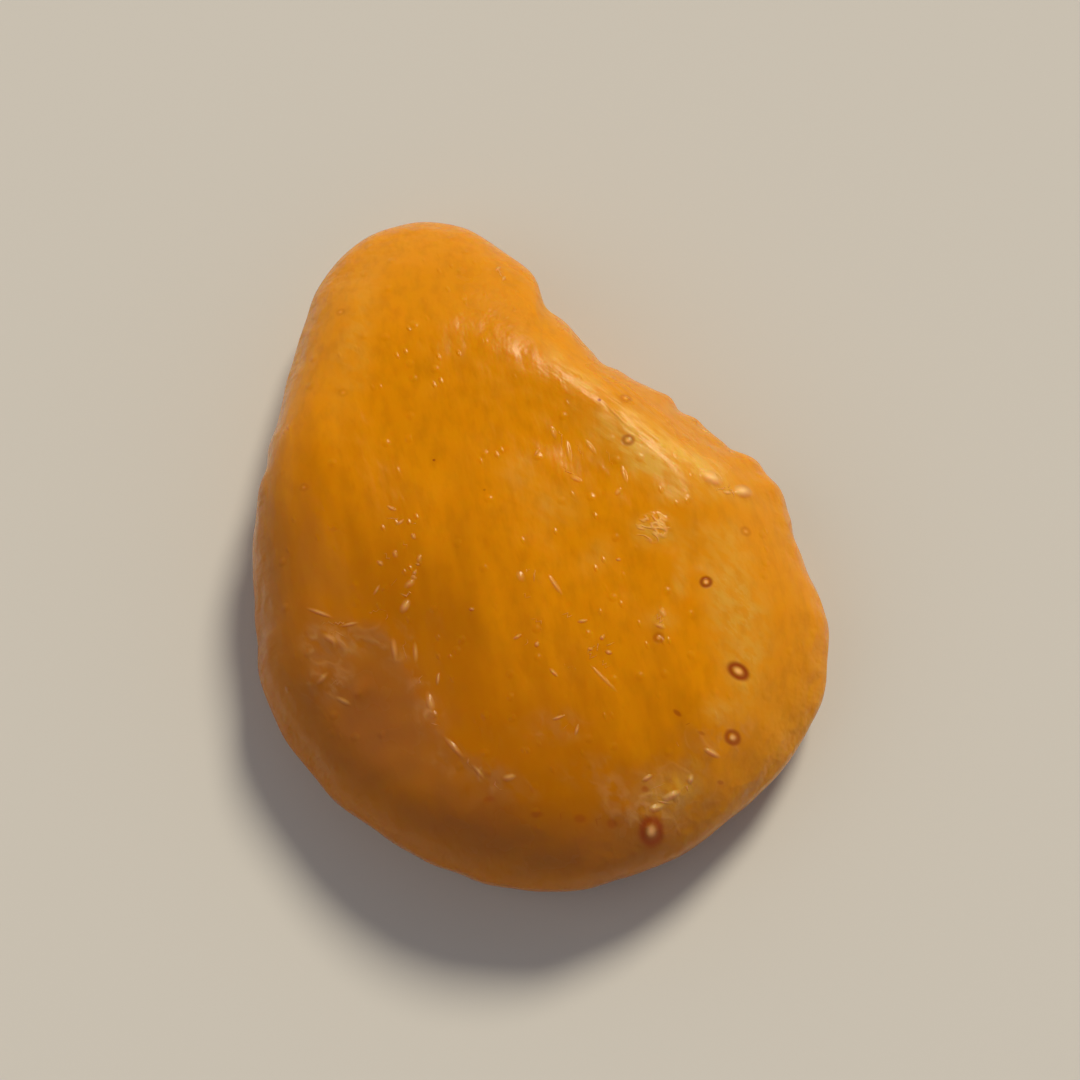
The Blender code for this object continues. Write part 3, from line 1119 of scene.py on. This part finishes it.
def half_roughness(graph, at):
    """Wet all over, and drier where the skin is pale, crumpled, pebbled, streaked or browned."""
    dryness = at.bloom_and_sheen * BLOOM_AND_SHEEN_DRYNESS + at.crumple_sheen * CRUMPLE_SHEEN_DRYNESS
    dryness += at.pebbles * PEBBLE_DRYNESS + at.streaks * STREAK_DRYNESS + at.browned_shade * BROWNED_SHADE_DRYNESS
    return graph.noise(*WETNESS).ease(0.3, 0.7, WET_ROUGHNESS, OPEN_ROUGHNESS) + dryness


def half_material(settings):
    """Moist, glossy, translucent fruit, with the fine wrinkles, freckles and blooms of its skin, and painted
    light, shade, sheen and highlights in its colour.
    """
    graph = Graph("dried_apricot")
    at = skin_masks(graph)
    height = fine_relief(graph, at)
    bump = graph.add("ShaderNodeBump", {}, {"Strength": 1.0, "Distance": MM, "Height": height})
    surface = graph.surface.inputs
    graph.feed(surface["Base Color"], half_colour(graph, at, settings))
    graph.feed(surface["Normal"], bump.outputs["Normal"])
    graph.feed(surface["Roughness"], half_roughness(graph, at))
    surface["IOR"].default_value = REFRACTION
    surface["Specular IOR Level"].default_value = SHINE
    surface["Subsurface Weight"].default_value = TRANSLUCENCY
    surface["Subsurface Radius"].default_value = LIGHT_SPREAD
    surface["Subsurface Scale"].default_value = LIGHT_REACH
    return graph.material


def floor_material(colour):
    """Plain pale matt card."""
    graph = Graph("pale_card")
    surface = graph.surface.inputs
    surface["Base Color"].default_value = rgba(colour)
    surface["Roughness"].default_value = FLOOR_ROUGHNESS
    surface["Specular IOR Level"].default_value = FLOOR_SHINE
    return graph.material


class APRICOT_OT_half(bpy.types.Operator):
    """Build the dried apricot half in place of the frame's plain solid"""

    bl_idname = "apricot.half"
    bl_label = "Apricot half"

    def execute(self, context):
        settings = context.scene.apricot_half
        mesh = ball_mesh("dried_apricot_half", settings.cells)
        shape_half(mesh, settings)
        mesh.shade_smooth()
        mesh.materials.append(half_material(settings))
        half = bpy.data.objects.new("dried_apricot_half", mesh)
        context.scene.collection.objects.link(half)
        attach(half, "root")
        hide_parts("apricot_half")
        return {"FINISHED"}


class APRICOT_OT_stage(bpy.types.Operator):
    """Set the pale floor, the soft light and the camera that looks down on the half"""

    bl_idname = "apricot.stage"
    bl_label = "Stage"

    def execute(self, context):
        settings = context.scene.apricot_stage
        self.add_floor(context, settings)
        self.add_light(context, "key", settings.key_strength, KEY_LIGHT)
        self.add_light(context, "fill", settings.fill_strength, FILL_LIGHT)
        self.add_world(context)
        self.add_camera(context, settings)
        context.scene.view_settings.view_transform = "Standard"
        return {"FINISHED"}

    def add_floor(self, context, settings):
        bm = bmesh.new()
        bmesh.ops.create_grid(bm, x_segments=1, y_segments=1, size=settings.floor_size / 2)
        mesh = bpy.data.meshes.new("floor")
        bm.to_mesh(mesh)
        bm.free()
        mesh.materials.append(floor_material(settings.floor_colour))
        floor = bpy.data.objects.new("floor", mesh)
        context.scene.collection.objects.link(floor)

    def add_light(self, context, name, strength, light):
        """A far light from its own direction, as wide in the sky as it says."""
        towards, width, colour = light
        data = bpy.data.lights.new(name, "SUN")
        data.energy = strength
        data.angle = width
        data.color = colour
        sun = bpy.data.objects.new(name, data)
        sun.rotation_euler = Vector(towards).to_track_quat("Z", "Y").to_euler()
        context.scene.collection.objects.link(sun)

    def add_world(self, context):
        """A pale horizon under a darker top, so that the skin's gloss stays clear."""
        world = bpy.data.worlds.new("studio")
        world.use_nodes = True
        nodes, links = world.node_tree.nodes, world.node_tree.links
        background = nodes["Background"]
        direction = nodes.new("ShaderNodeTexCoord")
        split = nodes.new("ShaderNodeSeparateXYZ")
        ramp = nodes.new("ShaderNodeValToRGB")
        stops = ramp.color_ramp.elements
        stops.new(0.5)
        for stop, (height, grey) in zip(stops, SKY):
            stop.position = height
            stop.color = rgba(grey * part for part in SKY_TINT)
        links.new(direction.outputs["Generated"], split.inputs[0])
        links.new(split.outputs["Z"], ramp.inputs[0])
        links.new(ramp.outputs["Color"], background.inputs["Color"])
        context.scene.world = world

    def add_camera(self, context, settings):
        camera_data = bpy.data.cameras.new("camera")
        camera_data.lens = settings.lens
        camera_data.clip_start = CLIP_START
        camera = bpy.data.objects.new("camera", camera_data)
        middle = Vector((0.0, 0.0, (HIGH.z - LOW.z) / 2))
        towards = Vector((0.0, -math.cos(settings.elevation), math.sin(settings.elevation)))
        camera.location = middle + towards * settings.distance
        camera.rotation_euler = towards.to_track_quat("Z", "Y").to_euler()
        context.scene.collection.objects.link(camera)
        context.scene.camera = camera


class APRICOT_PT_panel(bpy.types.Panel):
    """Lists the pieces that can be built, with their settings"""

    bl_idname = "APRICOT_PT_panel"
    bl_label = "Dried apricot half"
    bl_space_type = "VIEW_3D"
    bl_region_type = "UI"
    bl_category = "Apricot"

    def draw(self, context):
        for operator, settings in (
            (APRICOT_OT_half, context.scene.apricot_half),
            (APRICOT_OT_stage, context.scene.apricot_stage),
        ):
            box = self.layout.box()
            box.operator(operator.bl_idname)
            for name in settings.__annotations__:
                box.prop(settings, name)


CLASSES = (HalfSettings, StageSettings, APRICOT_OT_half, APRICOT_OT_stage, APRICOT_PT_panel)


def register():
    for item in CLASSES:
        bpy.utils.register_class(item)
    bpy.types.Scene.apricot_half = PointerProperty(type=HalfSettings)
    bpy.types.Scene.apricot_stage = PointerProperty(type=StageSettings)


def unregister():
    del bpy.types.Scene.apricot_stage
    del bpy.types.Scene.apricot_half
    for item in reversed(CLASSES):
        bpy.utils.unregister_class(item)


def main():
    """Builds the half and its stage."""
    register()
    bpy.ops.apricot.half()
    bpy.ops.apricot.stage()


if __name__ == "__main__":
    main()
